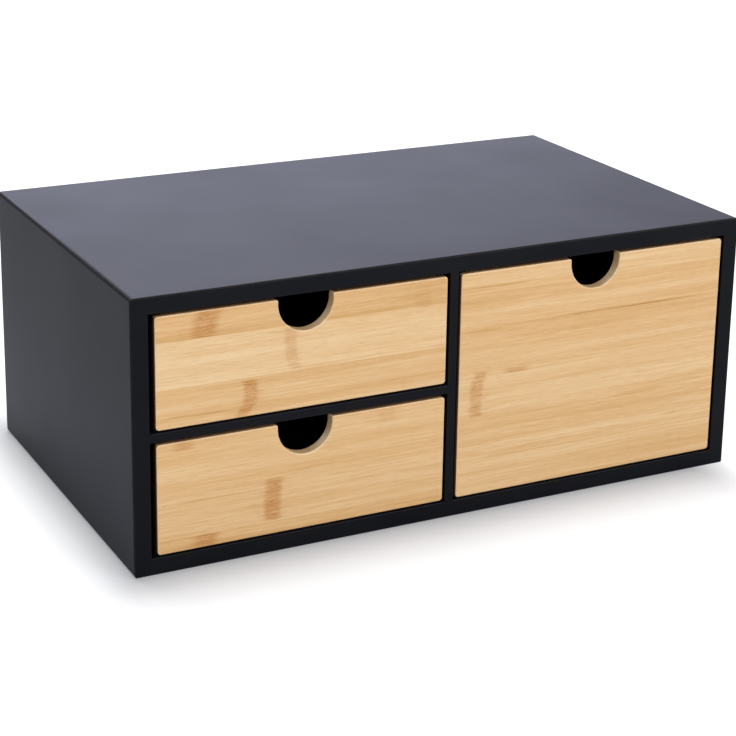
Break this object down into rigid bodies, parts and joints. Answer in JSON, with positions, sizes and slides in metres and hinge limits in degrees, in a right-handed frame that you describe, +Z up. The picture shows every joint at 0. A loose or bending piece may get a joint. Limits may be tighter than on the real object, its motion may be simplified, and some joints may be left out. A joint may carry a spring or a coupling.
{
  "type": "desktop mini drawer cabinet",
  "caption": "Low black box cabinet for a desk, with small bamboo-fronted drawers stacked on the left and a large one on the right, each opened by a finger notch.",
  "frame": {"origin": "centre of the footprint, on the surface that the cabinet stands on", "axes": "+X to the right along the width, +Y to the rear, +Z up; the drawers open towards -Y"},
  "size_m": [0.33, 0.2, 0.135],
  "materials": {
    "black_cabinet_paint": "satin black paint on wood",
    "black_back_board": "matt black paint on fibreboard",
    "bamboo_front": "clear satin lacquer on laminated bamboo",
    "black_drawer_board": "matt black stain on thin board",
    "beech_dowel": "bare wood",
    "steel_brad": "bright steel"
  },
  "bodies": {
    "cabinet": {"top_panel": "black_cabinet_paint", "bottom_panel": "black_cabinet_paint", "left_side_panel": "black_cabinet_paint", "right_side_panel": "black_cabinet_paint", "back_panel": "black_back_board", "centre_divider": "black_cabinet_paint", "left_shelf": "black_cabinet_paint", "corner_dowels": "beech_dowel", "back_brads": "steel_brad"},
    "upper_drawer": {"upper_drawer_front": "bamboo_front", "upper_drawer_left_side": "black_drawer_board", "upper_drawer_right_side": "black_drawer_board", "upper_drawer_rear": "black_drawer_board", "upper_drawer_bottom": "black_drawer_board", "upper_drawer_brads": "steel_brad"},
    "lower_drawer": {"lower_drawer_front": "bamboo_front", "lower_drawer_left_side": "black_drawer_board", "lower_drawer_right_side": "black_drawer_board", "lower_drawer_rear": "black_drawer_board", "lower_drawer_bottom": "black_drawer_board", "lower_drawer_brads": "steel_brad"},
    "large_drawer": {"large_drawer_front": "bamboo_front", "large_drawer_left_side": "black_drawer_board", "large_drawer_right_side": "black_drawer_board", "large_drawer_rear": "black_drawer_board", "large_drawer_bottom": "black_drawer_board", "large_drawer_brads": "steel_brad"}
  },
  "joints": [
    {"name": "upper_drawer_slide", "type": "slide", "parent": "cabinet", "child": "upper_drawer", "axis": [0, -1, 0], "range_m": [0, 0.15]},
    {"name": "lower_drawer_slide", "type": "slide", "parent": "cabinet", "child": "lower_drawer", "axis": [0, -1, 0], "range_m": [0, 0.15]},
    {"name": "large_drawer_slide", "type": "slide", "parent": "cabinet", "child": "large_drawer", "axis": [0, -1, 0], "range_m": [0, 0.15]}
  ]
}
